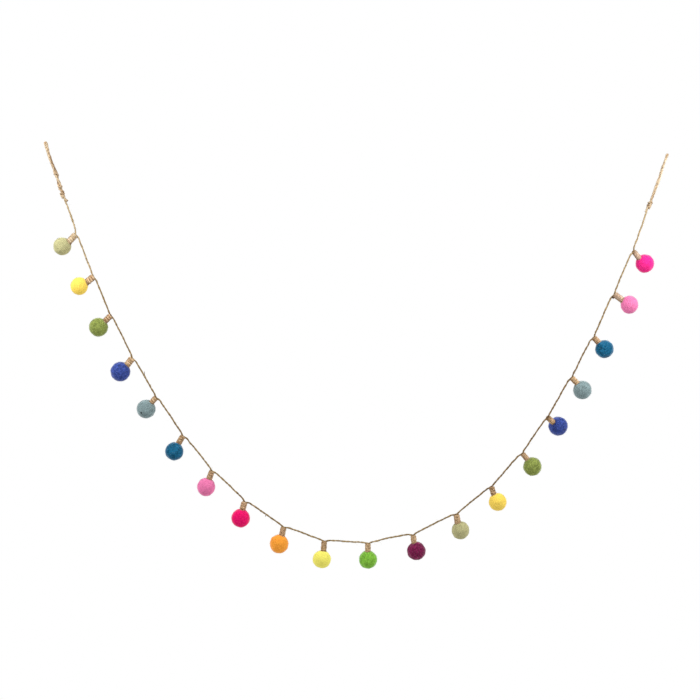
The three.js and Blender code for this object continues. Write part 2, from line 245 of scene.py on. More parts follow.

# How each neck is wound: its jute, how light it is, and how its shade varies. band is painted shade on
# its two sides along the string, side is painted light on its right side and painted shade on its left
# one, rings tells every second turn from the next, and streaks run along it. top, foot and string are
# the shades of its first turn, of its last one above the felt, a painted shadow where it goes into the
# ball, and of the string there.
LOOKS = "jute light band side rings streaks top foot string".split()
NECKS = [
    ["cream", 1.12, 1.3, 0.7, 0.3, 0, 1, 0.8, 1.5],
    ["straw", 1.14, 1.8, 0.4, 1, 0, 0.85, 0.8, 1.35],
    ["tan", 1.18, 1.6, 0.1, 1, 0, 0.75, 0.65, 0.8],
    ["straw", 1.2, 1.5, 0.6, 1, 0.2, 0.9, 0.75, 1],
    ["straw", 1.14, 1.4, 0.6, 0.9, 0, 0.65, 0.6, 0.9],
    ["brown", 1.12, 0.1, 0.2, 0.7, 0, 0.9, 0.7, 0.8],
    ["tan", 1.12, 0.8, 0.8, 0.3, 0.2, 0.9, 0.85, 1.25],
    ["tan", 1.19, 0.1, 0.3, 0.5, 0.4, 0.9, 0.75, 0.8],
    ["tan", 1.19, 0.1, 0.3, 0, 0.8, 0.95, 0.7, 1.06],
    ["brown", 1.16, 0, 0.4, 0.2, 0.8, 0.75, 0.55, 1.1],
    ["straw", 1.14, 0, 0.4, 0.1, 0.4, 0.85, 0.7, 1.42],
    ["straw", 1.1, 0, 0.5, 0, 1, 0.9, 0.7, 0.98],
    ["straw", 1.1, 0.2, 0.2, 0.2, 0.9, 0.8, 0.7, 0.92],
    ["brown", 1.08, -0.1, 0.5, 0.9, 0.3, 0.55, 0.8, 0.64],
    ["tan", 1.14, 0, 1.2, 0.2, 0.5, 0.8, 0.8, 0.83],
    ["brown", 1.14, -0.6, -0.4, 1.2, 0, 0.45, 0.9, 0.7],
    ["straw", 1.1, 0.2, 1.4, 0.1, 0.5, 0.8, 0.85, 0.7],
    ["tan", 1.05, 0, 1.6, 0.3, 0.2, 0.8, 0.75, 0.8],
    ["sand", 1.1, 0.3, 0.7, 0.1, 0.5, 0.85, 0.9, 1.12],
    ["sand", 1.12, 0.3, 0.6, 0.3, 0.2, 0.45, 0.9, 1.4],
]
NECKS = [dict(zip(LOOKS, row)) for row in NECKS]

# Lumps in the string and the loops: where, how much thicker, how long and their shade
SLUBS = [
    [0.0349, -0.1071, 0.45, 0.0045, 0.68],
    [0.0833, -0.219, 0.25, 0.0022, 0.6],
    [0.139, -0.324, 0.25, 0.0015, 0.7],
    [0.3082, -0.522, 0.35, 0.0015, 0.7],
    [0.8576, -0.0556, 0.5, 0.0018, 1],
    [0.864, -0.0332, 0.4, 0.0016, 1],
]
# Small tufts that stick out of the string: where from, and to where
TUFTS = [
    [0.1394, -0.3262, 0.1385, -0.3199],
    [0.3088, -0.5198, 0.3078, -0.5234],
]
TUFT_HAIRS, TUFT_HAIR, TUFT_SPREAD, TUFT_SHADE = 12, 0.0012, 0.0002, 0.5
TUFT_POINTS = (0, 0.35, 0.7, 1)  # along each hair

# The two ends: the string's points from the outermost neck to the knot's foot, the knot, its free end
# and the middle line of its loop, all as in the frame's source, and how they look. wraps has each turn's
# height, its shade on its left and on its right, and its rise for each radian. core and strands are the
# shades of the two strands in the knot and in the loop, and low, eye and tip those of the loop next to
# the knot, of its eye and of the free end's tip. thick is the loop's thickness as a share of the
# twine's, how much more it is at the eye, and how far that reaches.
ENDS = {
    "left": {
        "string": [[0.0395, 0.0005, -0.112], [0.0305, 0, -0.089]],
        "foot": [0.0253, 0, -0.0768],
        "top": [0.013, 0, -0.0384],
        "wraps": [
            (0.004, 1.05, 0.6, 0.0004),
            (0.0074, 0.95, 0.5, 0.0005),
            (0.0156, 1, 0.6, 0.0009),
            (0.034, 0.6, 0.75, 0.0008),
        ],
        "core": (0.6, 1),
        "tail": [[0.0284, -0.002, -0.0794], [0.031, -0.0016, -0.0816]],
        "tail_side": 1,
        "tip": 0.4,
        "loop": [[0.009, 0, -0.029], [0.0045, 0, -0.016], [0.0002, 0, -0.0007]],
        "edge": 0,
        "twist": 40,
        "strands": (0.98, 0.52),
        "low": 0.85,
        "eye": 0.6,
        "thick": (1.06, 0.16, 0.2),
    },
    "right": {
        "string": [[0.826, 0, -0.14], [0.8342, -0.0005, -0.119], [0.8405, 0, -0.099]],
        "foot": [0.8439, 0, -0.0914],
        "top": [0.8479, 0, -0.0804],
        "wraps": [(0.0034, 0.35, 0.95, 0.0003), (0.0074, 1, 0.5, 0.0003)],
        "core": (0.95, 0.8),
        "tail": [[0.841, -0.0022, -0.0942], [0.8394, -0.0021, -0.0968]],
        "tail_side": -1,
        "tip": 1,
        "loop": [[0.8515, 0, -0.07], [0.8575, 0, -0.0556], [0.864, 0, -0.0345], [0.8703, 0, -0.0176]],
        "edge": 60,
        "twist": 170,
        "strands": (1.3, 1.25),
        "low": 0.6,
        "eye": 0.8,
        "thick": (0.92, 0.35, 0.6),
    },
}

# The wools: colour, how much its shade varies, and how much loose fibre and pale bloom it has.
WOOLS = {
    "sage": ["b9b585", 0.16, 0.6],
    "yellow": ["f9d760", 0.05, 0.4],
    "moss": ["8c994e", 0.33, 1],
    "cobalt": ["3f529e", 0.46, 1],
    "duck_egg": ["84989a", 0.28, 1],
    "teal": ["1f678c", 0.46, 1],
    "pink": ["eb7cae", 0.1, 0.7],
    "cerise": ["f4166d", 0.17, 0.9],
    "orange": ["ffa43d", 0.08, 0.8],
    "lemon": ["f5ec6f", 0.04, 0.4],
    "lime": ["84c144", 0.26, 1],
    "plum": ["832552", 0.5, 1],
    "hot_pink": ["f82e8c", 0.12, 0.8],
}

# Jute: its dark, middle and pale streaks, for the string, the ends and the necks.
STRING_JUTE = ["5c492a", "8e7548", "bfa471"]
END_JUTE = ["876f52", "c2ab8b", "e1d4ba"]
JUTES = {
    "cream": ["967c5a", "c1ab89", "dccbb0"],
    "straw": ["866a48", "c2a37c", "e2c8a4"],
    "sand": ["846a4f", "b69b82", "d4c1ac"],
    "tan": ["7d5f44", "b59570", "d6b894"],
    "brown": ["6e5238", "ac8c66", "d1b48b"],
}
# How dark and how light its stretches are, and how short
STRING_TONE, END_TONE, NECK_TONE = (0.55, 1.3, 110), (0.75, 1.15, 230), (0.85, 1.12, 230)
DIM = (0.58, 0.46, 0.36, 1)  # what a shade of 0.5 makes of its colour
BRIGHT, STRING_BRIGHT = (1.88, 1.96, 2.25, 1), (1.88, 2.15, 3.2, 1)  # and a shade of 2
DARK_TINT = (1, 0.96, 0.88)  # of its dark stretches
STREAK, STREAK_LONG = 1900, 0.16  # how fine its streaks are, and how much slower lengthwise

# The felt's noises, in Blender's scales
MOTTLE = 230  # soft blotches
MAT = 2600  # matted fibres
MAT_LONG = 0.18  # how much slower they change in two of the three ways
MAT_BENDS, MAT_BEND = 160, 0.006  # how often they bend, and how far
MAT_DARK, MAT_LIGHT = 0.8, 0.5  # how strong they are, as shares of the wool's variation
SHEEN_WHITE = 0.5
FUZZ_MOTTLE, FUZZ_VARY, FUZZ_WHITE = 900, 0.4, 0.05
BLACK, WHITE = (0, 0, 0, 1), (1, 1, 1, 1)
SURFACE = "Principled BSDF"


# Lines and surfaces in numbers


def unit(v):
    v = np.asarray(v, float)
    return v / np.linalg.norm(v, axis=-1, keepdims=True)


def turned(angle, a, b):
    """The direction a, turned towards b by each angle."""
    angle = angle[..., None]
    return np.cos(angle) * a + np.sin(angle) * b


def near(distance, reach):
    """1 at no distance, and next to nothing at twice the reach."""
    return np.exp(-((distance / reach) ** 2))


def towards(light, share):
    """1 where share is 0, and light where it is 1."""
    return 1 - (1 - light) * share


def travelled(line):
    """How far along the line each point is."""
    return np.concatenate([[0], np.cumsum(np.linalg.norm(np.diff(line, axis=0), axis=1))])


def spread(line, count):
    """The line with count points, spread evenly along it."""
    along = travelled(line)
    wanted = np.linspace(0, along[-1], count)
    return np.stack([np.interp(wanted, along, line[:, k]) for k in range(3)], axis=1)


def smooth(points, step):
    """Points a step apart on the smooth curve through points, a centripetal Catmull-Rom spline."""
    points = np.asarray(points, float)
    points = np.vstack([2 * points[0] - points[1], points, 2 * points[-1] - points[-2]])
    t = np.linspace(0, 1, SPLINE_POINTS, endpoint=False)[:, None]
    pieces = []
    for a, b, c, d in zip(points, points[1:], points[2:], points[3:]):
        da, db, dc = (math.sqrt(np.linalg.norm(q - p)) for p, q in ((a, b), (b, c), (c, d)))
        out_b = db * ((b - a) / da - (c - a) / (da + db) + (c - b) / db)
        out_c = db * ((c - b) / db - (d - b) / (db + dc) + (d - c) / dc)
        square, cube = 3 * (c - b) - 2 * out_b - out_c, 2 * (b - c) + out_b + out_c
        pieces.append(b + out_b * t + square * t**2 + cube * t**3)
    line = np.vstack([*pieces, points[-2]])
    return spread(line, max(3, round(travelled(line)[-1] / step) + 1))


def soften(line, reach):
    """The line with its corners rounded off, for points FINE apart. Its ends stay."""
    half = round(3 * reach / FINE)
    kernel = np.exp(-0.5 * (np.arange(-half, half + 1) * FINE / reach) ** 2)
    kernel /= kernel.sum()
    before = line[0] + (line[0] - line[1]) * np.arange(half, 0, -1)[:, None]
    after = line[-1] + (line[-1] - line[-2]) * np.arange(1, half + 1)[:, None]
    padded = np.vstack([before, line, after])
    return np.stack([np.convolve(padded[:, k], kernel, "valid") for k in range(3)], axis=1)


def hung(points, held, random):
    """A line through the points, which bends sharply where it is held and softly elsewhere."""
    points = np.asarray(points, float)
    line = spread(points, round(travelled(points)[-1] / FINE))
    apart = np.min([np.linalg.norm(line - place, axis=1) for place in held], axis=0)
    share = np.clip((apart - STRAIGHT[0]) / (STRAIGHT[1] - STRAIGHT[0]), 0, 1)[:, None]
    share = share * share * (3 - 2 * share)
    line = soften(line, CORNER) * (1 - share) + soften(line, EASE) * share
    stray = np.stack([waves(line, WANDER_LENGTH, random) for _ in range(3)], axis=1)
    line = line + stray * WANDER * share
    return spread(line, round(travelled(line)[-1] / STEP))


def frames(line):
    """Two directions square to the line at each point, which don't turn about it."""
    tangent = unit(np.gradient(line, axis=0))
    across = np.empty_like(line)
    guess = FRONT
    for i, along in enumerate(tangent):
        guess = guess - along * (guess @ along)
        guess = guess / np.linalg.norm(guess)
        across[i] = guess
    return across, np.cross(tangent, across)


def waves(places, length, random, count=20):
    """A smooth random height for each place, about -1 to 1, with bumps about length across."""
    directions = unit(random.normal(size=(count, 3))) * (2 * math.pi / length)
    directions *= random.uniform(*WAVE_SPREAD, (count, 1))
    start = random.uniform(0, 2 * math.pi, count)
    return np.sin(places @ directions.T + start).sum(1) / math.sqrt(count)


# Meshes: a shape is (points, faces, grain, shade). grain says how far along its strand each point is
# and on which side, in metres, and shade how light it is.


def tube(line, radius, sides=PLY_SIDES, shade=1.0):
    """A closed tube with domed ends. radius and shade may differ from point to point of the line."""
    radius = np.broadcast_to(radius, len(line))
    shade = np.broadcast_to(shade, len(line))
    across, aside = frames(line)
    turn = np.arange(sides) * 2 * math.pi / sides
    ring = turned(turn, across[:, None], aside[:, None])
    points = (line[:, None] + ring * radius[:, None, None]).reshape(-1, 3)
    ends = line[[0, -1]] + unit(line[[0, -1]] - line[[1, -2]]) * radius[[0, -1], None] * DOME
    along = travelled(line)
    side = np.stack([np.cos(turn), np.sin(turn)], axis=1) * TWINE / 2
    grain = np.concatenate([np.repeat(along, sides)[:, None], np.tile(side, (len(line), 1))], axis=1)
    grain = np.vstack([grain, [along[0], 0, 0], [along[-1], 0, 0]])
    k, n = np.arange(sides), len(line)
    after = (k + 1) % sides
    start = np.arange(n - 1)[:, None] * sides
    walls = np.stack([start + k, start + after, start + sides + after, start + sides + k], axis=2)
    faces = walls.reshape(-1, 4).tolist()
    faces += [[a, n * sides, b] for a, b in zip(after.tolist(), k.tolist())]
    last = (n - 1) * sides
    faces += [[last + a, n * sides + 1, last + b] for a, b in zip(k.tolist(), after.tolist())]
    shade = np.concatenate([np.repeat(shade, sides), shade[[0, -1]]])
    return np.vstack([points, ends]), faces, grain, shade


def strands(lines, thickness, shade=1.0):
    """Fine tapering hairs with three sides. lines holds each hair's points, from root to tip."""
    count, rings = lines.shape[0], lines.shape[1] - 1
    tangent = unit(np.gradient(lines, axis=1))
    across = unit(np.cross(tangent, HAIR_SKEW))
    aside = np.cross(tangent, across)
    taper = np.linspace(1, HAIR_TIP, rings)[None, :, None] * thickness / 2
    corners = []
    for turn in np.arange(3) * 2 * math.pi / 3:
        out = math.cos(turn) * across[:, :rings] + math.sin(turn) * aside[:, :rings]
        corners.append(lines[:, :rings] + out * taper)
    sides = np.stack(corners, axis=2).reshape(count, rings * 3, 3)
    points = np.concatenate([sides, lines[:, -1:]], axis=1)
    each = rings * 3 + 1
    pattern = [[0, 2, 1]]
    for ring in range(rings - 1):
        for k in range(3):
            low, high = ring * 3 + k, ring * 3 + (k + 1) % 3
            pattern.append([low, high, high + 3, low + 3])
    last = (rings - 1) * 3
    pattern += [[last + k, last + (k + 1) % 3, each - 1] for k in range(3)]
    faces = [[corner + i * each for corner in face] for i in range(count) for face in pattern]
    grain = np.repeat(np.arange(count), each)[:, None] * HAIR_GRAIN
    return points.reshape(-1, 3), faces, grain, np.full(count * each, shade)


def twine(line, thickness, random, splay=0.0, shade=1.0):
    """Two plies twisted together along the line. splay opens them at its end."""
    along = travelled(line)
    across, aside = frames(line)
    stray, length = TWIST_STRAY
    spin = 2 * math.pi * along / TWIST + stray * waves(line, length, random)
    spin += random.uniform(*TWIST_START)
    opened = 1 + splay * np.clip(1 - (along[-1] - along) / SPLAY_LENGTH, 0, 1) ** 2
    shapes = []
    for ply in range(2):
        turn = spin + math.pi * ply
        out = turned(turn, across, aside)
        middle = line + out * (opened * PLY_OUT * thickness)[:, None]
        uneven = 1
        for size, length in PLY_LUMPS:
            uneven = uneven + size * waves(line, length, random)
        shapes.append(tube(middle, PLY * thickness * uneven, shade=shade))
    return shapes


def slubs(line):
    """How much thicker, and how light, the slubs make each point of a line."""
    thicker, lighter = np.ones((2, len(line)))
    for x, z, more, reach, shade in SLUBS:
        share = near(np.hypot(line[:, 0] - x, line[:, 2] - z), reach)
        thicker *= 1 + more * share
        lighter *= towards(shade, share)
    return thicker, lighter


def tufts(line, random):
    """Small bundles of fibre that stick out of the string."""
    shapes = []
    for x, z, tip_x, tip_z in TUFTS:
        nearest = np.argmin(np.hypot(line[:, 0] - x, line[:, 2] - z))
        root, tip = line[nearest], np.array([tip_x, line[nearest, 1], tip_z])
        ends = tip + random.normal(0, TUFT_SPREAD, (TUFT_HAIRS, 3))
        hairs = [root + (ends - root) * share for share in TUFT_POINTS]
        shapes.append(strands(np.stack(hairs, axis=1), TUFT_HAIR, TUFT_SHADE))
    return shapes


def loose_hairs(line, count, random, length=HAIR_LENGTH, shade=HAIR_LIGHT):
    """Hairs that stand out from a strand of twine, most of them leaning along it."""
    across, aside = frames(line)
    tangent = np.cross(across, aside)
    at = random.integers(1, len(line) - 1, count)
    away = turned(random.uniform(0, 2 * math.pi, count), across[at], aside[at])
    lean = tangent[at] * random.choice([-1, 1], count)[:, None] * random.uniform(*HAIR_LEAN, (count, 1))
    heading = unit(away + lean)
    bend = random.normal(0, HAIR_BEND, (count, 3)) + away * HAIR_CURL
    long = random.uniform(*length, count)[:, None]
    root = line[at] + away * TWINE * HAIR_ROOT
    hairs = [root + (heading * s + bend * s**2 / 2) * long for s in np.linspace(0, 1, HAIR_POINTS)]
    return strands(np.stack(hairs, axis=1), HAIR, shade)


# Where things are


def up_neck(row):
    """The direction from a ball up its neck to the string."""
    lean, tilt = math.radians(row["lean"]), math.radians(row["tilt"])
    down = [math.sin(lean) * math.cos(tilt), -math.sin(tilt), -math.cos(lean) * math.cos(tilt)]
    return -np.array(down)


def crossing(row):
    return np.array([row["x"], row["y"], row["z"]], float)


def ball_middle(row):
    lean = math.radians(row["lean"])
    side = np.array([math.cos(lean), 0, math.sin(lean)])
    return crossing(row) - up_neck(row) * (row["stem"] + row["ball"] / 2) + side * row["aside"]


def square_to(v, along):
    """The part of v that is square to a unit direction, as a unit direction."""
    return unit(v - along * (v @ along))


def leg(row, place, neighbour, up):
    """The string's point beside a neck, on the side of the neighbouring point."""
    reach, rise = (LOW_REACH, row["low"]) if neighbour[2] < place[2] else (HIGH_REACH, row["high"])
    along = unit(neighbour - place)
    return place + along * reach + square_to(up, along) * rise


def knot_ways(end):
    """The directions up a knot and to its right."""
    along = unit(np.subtract(end["top"], end["foot"]))
    return along, np.cross([0, 1, 0], along)


def at_knot(end, face, gap=KNOT_GAP, aside=0.0, forward=0.0):
    """A point just beyond a knot's foot or top."""
    along, right = knot_ways(end)
    beyond = gap if face == "top" else -gap
    return np.array(end[face]) + along * beyond + right * aside + [0, -forward, 0]


def string_end(end):
    return [*map(np.array, end["string"]), at_knot(end, "foot", aside=STRING_ASIDE * end["tail_side"])]


def string_route():
    """The string's middle line from the left knot to the right one, through every neck."""
    start, finish = string_end(ENDS["left"])[::-1], string_end(ENDS["right"])
    places = [start[-1], *map(crossing, BALLS), finish[0]]
    points = [*start]
    for row, before, place, after in zip(BALLS, places, places[1:], places[2:]):
        up = up_neck(row)
        points += [leg(row, place, before, up), place - up * DIP, leg(row, place, after, up)]
        if row["bow"]:
            across = square_to(up, unit(after - place))
            points.append((place + after) / 2 + across * row["bow"])
    return [*points, *finish]


def loop_route(end):
    """The middle line of a loop: up one strand, round the eye and down the other."""
    middle = smooth([at_knot(end, "top"), *end["loop"]], LOOP_STEP)
    tangent = unit(np.gradient(middle, axis=0))

    def place(t):
        i = round(t * (len(middle) - 1))
        along = tangent[i]
        turn = math.radians(end["edge"] + end["twist"] * (1 - t))
        out = unit(np.cross(FRONT, along))
        return middle[i], along, out * math.cos(turn) + np.cross(along, out) * math.sin(turn)

    sides = []
    for side in (1, -1):
        spots = [place(i / LOOP_STEPS) for i in range(LOOP_STEPS)]
        sides.append([point + out * side * APART / 2 for point, _, out in spots])
    top, along, out = place(1)
    turns = np.arange(EYE_STEPS + 1) * math.pi / EYE_STEPS
    eye = [top + (out * math.cos(turn) + along * math.sin(turn)) * EYE / 2 for turn in turns]
    return [*sides[0], *eye, *sides[1][::-1]]


# Materials


def linear(colour, light=1.0):
    """A six-digit colour in Blender's linear numbers, times light."""
    parts = [int(colour[i : i + 2], 16) / 255 for i in (0, 2, 4)]
    parts = [c / 12.92 if c <= 0.04045 else ((c + 0.055) / 1.055) ** 2.4 for c in parts]
    return [min(1, c * light) for c in parts] + [1]


def bloom(wool, white):
    """The wool's colour, part faded to white."""
    return [white + (1 - white) * c for c in linear(wool)[:3]] + [1]


class Nodes:
    """A short way to write nodes. An input is a value or another node's output socket."""

    def __init__(self, owner):
        owner.use_nodes = True
        self.owner = owner
        self.tree = owner.node_tree

    def feed(self, socket, value):
        if isinstance(value, bpy.types.NodeSocket):
            self.tree.links.new(value, socket)
        else:
            socket.default_value = value

    def fill(self, name, **inputs):
        """Feeds the inputs of the named node."""
        for key, value in inputs.items():
            self.feed(self.tree.nodes[name].inputs[key.replace("_", " ")], value)

    def add(self, kind, **inputs):
        node = self.tree.nodes.new("ShaderNode" + kind)
        self.fill(node.name, **inputs)
        return node

    def attribute(self, name):
        node = self.add("Attribute")
        node.attribute_name = name
        return node

    def ramp(self, value, *stops):
        """A colour ramp with (place, colour) stops."""
        node = self.add("ValToRGB", Fac=value)
        elements = node.color_ramp.elements
        while len(elements) < len(stops):
            elements.new(0.5)
        for element, (place, colour) in zip(elements, stops):
            element.position = place
            element.color = colour
        return node.outputs["Color"]

    def multiply(self, a, b):
        """The product of two colours."""
        node = self.add("Mix")
        node.data_type = "RGBA"
        node.blend_type = "MULTIPLY"
        for socket, value in zip((node.inputs[0], node.inputs[6], node.inputs[7]), (1, a, b)):
            self.feed(socket, value)
        return node.outputs[2]

    def vector(self, operation, *values):
        return self.math(operation, *values, kind="VectorMath")

    def math(self, operation, *values, kind="Math"):
        node = self.add(kind)
        node.operation = operation
        for socket, value in zip(node.inputs, values):
            self.feed(socket, value)
        return node.outputs[0]

    def blend(self, share, a, b):
        """One surface passing into another."""
        node = self.add("MixShader", Fac=share)
        self.feed(node.inputs[1], a)
        self.feed(node.inputs[2], b)
        return node.outputs[0]


def felt(name, wool, vary, loose):
    """Needle felted wool: soft blotches, matted fibres, and a pale bloom where it turns away."""
    n = Nodes(bpy.data.materials.new("felt_" + name))
    place = n.add("TexCoord").outputs["Object"]
    mottle = n.add("TexNoise", Vector=place, Scale=MOTTLE, Detail=4, Roughness=0.65, Distortion=1.2)
    bend = n.add("TexNoise", Vector=place, Scale=MAT_BENDS, Detail=2).outputs["Color"]
    bent = n.vector("MULTIPLY_ADD", bend, (MAT_BEND,) * 3, place)
    ways = [[1 if i == k else MAT_LONG for i in range(3)] for k in range(3)]
    drawn = [n.vector("MULTIPLY", bent, way) for way in ways]
    matted = [n.add("TexNoise", Vector=way, Scale=MAT, Detail=3, Roughness=0.6) for way in drawn]
    one, two, three = (noise.outputs["Fac"] for noise in matted)
    fibre = n.math("MAXIMUM", n.math("MAXIMUM", one, two), three)
    stops = (0.36, linear(wool, 1 - vary)), (0.64, linear(wool, 1 + vary))
    blotches = n.ramp(mottle.outputs["Fac"], *stops)
    low, high = 1 - MAT_DARK * vary, 1 + MAT_LIGHT * vary
    fine = n.ramp(fibre, (0.5, (low, low, low, 1)), (0.72, (high, high, high, 1)))
    bump = n.add("Bump", Height=fibre, Strength=0.3, Distance=0.0002)
    n.fill(SURFACE, Base_Color=n.multiply(blotches, fine), Normal=bump.outputs["Normal"])
    facing = n.add("LayerWeight", Blend=0.5).outputs["Facing"]
    edge = n.ramp(facing, (0.3, BLACK), (0.8, (loose, loose, loose, 1)))
    n.fill(SURFACE, Roughness=0.95, Specular_IOR_Level=0.05)
    n.fill(SURFACE, Sheen_Weight=edge, Sheen_Roughness=0.5, Sheen_Tint=bloom(wool, SHEEN_WHITE))
    return n.owner


def fuzz(name, wool, vary):
    """The loose fibres on a ball of felt, from the ball's own colour to a paler one."""
    n = Nodes(bpy.data.materials.new("fuzz_" + name))
    grain = n.attribute("grain").outputs["Vector"]
    mottle = n.add("TexNoise", Vector=grain, Scale=FUZZ_MOTTLE, Detail=1).outputs["Fac"]
    own, paler = linear(wool, 1 - FUZZ_VARY * vary), bloom(wool, FUZZ_WHITE + FUZZ_VARY * vary)
    colour = n.ramp(mottle, (0.35, own), (0.7, paler))
    n.fill(SURFACE, Base_Color=n.multiply(colour, n.attribute("shade").outputs["Fac"]))
    n.fill(SURFACE, Roughness=0.8, Specular_IOR_Level=0.2)
    n.fill(SURFACE, Sheen_Weight=0.6, Sheen_Roughness=0.5, Sheen_Tint=bloom(wool, SHEEN_WHITE))
    return n.owner


def jute(name, shades, tone, bright=BRIGHT):
    """Dry jute: fine streaks along the plies, in three shades, and lighter and darker stretches."""
    darkest, lightest, patches = tone
    n = Nodes(bpy.data.materials.new(name))
    grain = n.attribute("grain").outputs["Vector"]
    along = n.vector("MULTIPLY", grain, (STREAK_LONG, 1, 1))
    streak = n.add("TexNoise", Vector=along, Scale=STREAK, Detail=3, Roughness=0.6).outputs["Fac"]
    stretch = n.vector("MULTIPLY", grain, (1, 0, 0))
    patch = n.add("TexNoise", Vector=stretch, Scale=patches, Detail=2, Roughness=0.6).outputs["Fac"]
    colour = n.ramp(streak, *zip((0.3, 0.5, 0.72), map(linear, shades)))
    low = [darkest * tint for tint in DARK_TINT] + [1]
    tones = n.ramp(patch, (0.3, low), (0.7, (lightest, lightest, lightest, 1)))
    half = n.math("MULTIPLY", n.attribute("shade").outputs["Fac"], 0.5)
    warm = n.ramp(half, (0, BLACK), (0.25, DIM), (0.5, WHITE), (1, bright))
    bump = n.add("Bump", Height=streak, Strength=0.6, Distance=0.00015)
    colour = n.multiply(n.multiply(colour, tones), warm)
    n.fill(SURFACE, Base_Color=colour, Normal=bump.outputs["Normal"])
    n.fill(SURFACE, Roughness=0.7, Specular_IOR_Level=0.3, Sheen_Weight=0.1, Sheen_Roughness=0.5)
    return n.owner


# Pieces


def new_object(name, data):
    obj = bpy.data.objects.new(name, data)
    bpy.context.scene.collection.objects.link(obj)
    return obj


def piece(name, shapes, material, slot, *nodes):
    """Joins the shapes into one piece, which stands for the named CAD nodes."""
    points = np.vstack([s[0] for s in shapes])
    grain = np.vstack([s[2] + [GRAIN_APART * i, 0, 0] for i, s in enumerate(shapes)])
    faces, first = [], 0
    for made in shapes:
        faces += [[corner + first for corner in face] for face in made[1]]
        first += len(made[0])
    mesh = bpy.data.meshes.new(name)
    mesh.from_pydata(points.tolist(), [], faces)
    mesh.attributes.new("grain", "FLOAT_VECTOR", "POINT").data.foreach_set("vector", grain.ravel())
    shade = np.concatenate([s[3] for s in shapes])
    mesh.attributes.new("shade", "FLOAT", "POINT").data.foreach_set("value", shade)
    mesh.materials.append(material)
    mesh.shade_smooth()
    obj = new_object(name, mesh)
    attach(obj, "root")
    if nodes:
        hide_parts(*nodes)
    return obj


def make_camera():
    data = bpy.data.cameras.new("camera")
    data.lens = LENS
    data.sensor_width = SENSOR
    camera = new_object("camera", data)
    distance = VIEW_WIDTH * LENS / SENSOR
    camera.location = (MIDDLE.x + VIEW_ASIDE, -distance, MIDDLE.z + VIEW_RAISED)
    camera.rotation_euler = (math.pi / 2, 0, 0)
    bpy.context.scene.camera = camera


def make_string(material):
    random = np.random.default_rng(STRING_SEED)
    points = string_route()
    held = [points[0], *map(crossing, BALLS), points[-1]]
    line = hung(points, held, random)
    along = travelled(line)
    marks = [along[np.linalg.norm(line - place, axis=1).argmin()] for place in held]
    shades = [STRING_SHADES[0], *(look["string"] for look in NECKS), STRING_SHADES[1]]
    shade = np.interp(along, marks, shades)
    for place, look in zip(held[1:-1], NECKS):
        apart = np.linalg.norm(line - place, axis=1)
        shade *= towards(look["top"], near(apart, CROSSING_REACH))
    thicker, lighter = slubs(line)
    shapes = twine(line, TWINE * thicker, random, shade=shade * lighter)
    string = piece("string_twine", shapes, material, "jute", "string")
    loose = [loose_hairs(line, STRING_HAIRS, random), *tufts(line, random)]
    hairs = piece("string_hairs", loose, material, "jute")


def make_loop(name, end, material, random):
    """A hanging loop: one twine up to its eye and down again."""
    along, _ = knot_ways(end)
    route = loop_route(end)
    inside = [p - along * LOOP_INTO for p in (route[0], route[-1])]
    line = smooth([inside[0], *route, inside[1]], STEP)
    from_eye = (travelled(line) / travelled(line)[-1] - 0.5) * 2
    one, other = end["strands"]
    shades = (one * end["low"], one, 1, 1, other, other * end["low"])
    shade = np.interp(from_eye, LOOP_SHADED_AT, shades)
    shade *= towards(end["eye"], near(from_eye, EYE_REACH))
    thick, more, reach = end["thick"]
    thicker, lighter = slubs(line)
    thick = TWINE * thick * thicker * (1 + more * near(from_eye, reach))
    shapes = twine(line, thick, random, shade=shade * lighter)
    hairs = loose_hairs(line, LOOP_HAIRS, random)
    piece("loop_twine_" + name, [*shapes, hairs], material, "jute", "loop_" + name)


def make_knot(name, end, material, random):
    """The turns of a knot, and the two strands inside it."""
    low, high = np.array(end["foot"]), np.array(end["top"])
    along, right = knot_ways(end)
    start_in, tucked = WRAP_TUCK
    shapes = []
    for i, (height, leftmost, rightmost, rise) in enumerate(end["wraps"]):
        slant = math.radians(KNOT_SLANT if i % 2 else -KNOT_SLANT)
        turn = np.linspace(0, WRAP_TURN, WRAP_POINTS) + WRAP_START * i
        tuck = np.clip(np.minimum(turn - turn[0], turn[-1] - turn) / tucked, 0, 1) ** 0.5
        ring = KNOT_RING * (start_in + (1 - start_in) * tuck)
        front = FRONT * math.cos(slant) + along * math.sin(slant)
        middle = low + along * height
        coil = middle + turned(turn, right, front) * ring[:, None]
        coil += along * ((turn - turn.mean()) * rise)[:, None]
        line = smooth(coil, STEP)
        share = np.clip((line - middle) @ right / KNOT_RING, -1, 1) / 2 + 0.5
        shade = leftmost + (rightmost - leftmost) * share
        shapes += twine(line, TWINE * KNOT_WRAP, random, shade=shade)
    for start, shade in zip((0, math.pi), end["core"]):
        heights = np.linspace(-STRAND_PAST, np.linalg.norm(high - low) + STRAND_PAST, STRAND_POINTS)
        turn = heights * STRAND_TWIST + start
        out = turned(turn, right, FRONT) * KNOT_APART
        strand = smooth(low + heights[:, None] * along + out, STEP)
        shapes += twine(strand, TWINE * KNOT_STRAND, random, shade=shade)
    piece("knot_twine_" + name, shapes, material, "jute", "knot_" + name)


def make_tail(name, end, material, random):
    """A knot's free end, frayed where it is cut."""
    along, _ = knot_ways(end)
    aside = TAIL_ASIDE * end["tail_side"]
    start = at_knot(end, "foot", gap=TAIL_GAP, aside=aside, forward=TAIL_FORWARD)
    line = smooth([start + along * TAIL_INTO, start, *map(np.array, end["tail"])], STEP)
    to_tip = travelled(line)[-1] - travelled(line)
    shade = towards(end["tip"], near(to_tip, TIP_REACH))
    shapes = twine(line, TAIL, random, splay=1.0, shade=shade)
    hairs = loose_hairs(line[-4:], TAIL_HAIRS, random, length=TAIL_HAIR_LENGTH)
    piece("tail_twine_" + name, [*shapes, hairs], material, "jute", "tail_" + name)


